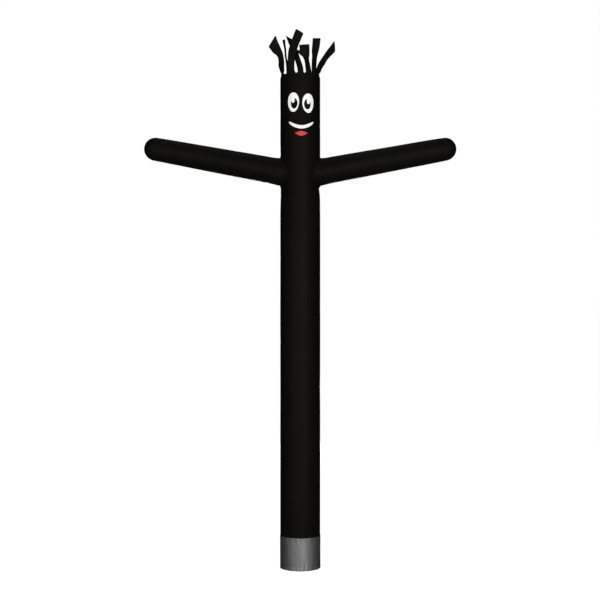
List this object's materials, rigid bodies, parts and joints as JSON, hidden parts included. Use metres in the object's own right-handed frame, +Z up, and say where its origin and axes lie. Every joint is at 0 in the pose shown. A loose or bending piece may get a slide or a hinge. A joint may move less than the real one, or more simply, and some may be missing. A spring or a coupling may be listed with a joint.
{
  "type": "inflatable air dancer",
  "caption": "Tall inflatable cloth tube figure with raised arms, a smiling face, loose hair strips and a grey collar that fastens over a blower's outlet.",
  "frame": {"origin": "on the tube's axis at the collar's foot, on the ground: the bottom centre of the bounding box within the hair's uneven reach", "axes": "+Z up along the tube, -Y the way the face looks, +X towards the viewer's right, along the arms"},
  "size_m": [3.5698, 0.6063, 6.114],
  "materials": {
    "black_nylon": "black coated ripstop nylon, faint sheen",
    "hair_nylon": "black ripstop nylon strips, cut edges",
    "grey_cloth": "grey woven nylon, hemmed top and bottom, soft sheen",
    "white_nylon": "white nylon applique, stitched edges",
    "pupil_nylon": "black nylon applique, stitched edges",
    "red_nylon": "red nylon applique, stitched edges"
  },
  "bodies": {
    "root": {"body_tube": "black_nylon", "crown": "black_nylon", "arm_left": "black_nylon", "arm_right": "black_nylon", "hair": "hair_nylon", "collar": "grey_cloth", "eye_left": "white_nylon", "eye_right": "white_nylon", "smile": "white_nylon", "pupil_left": "pupil_nylon", "pupil_right": "pupil_nylon", "lip": "red_nylon"}
  },
  "joints": []
}
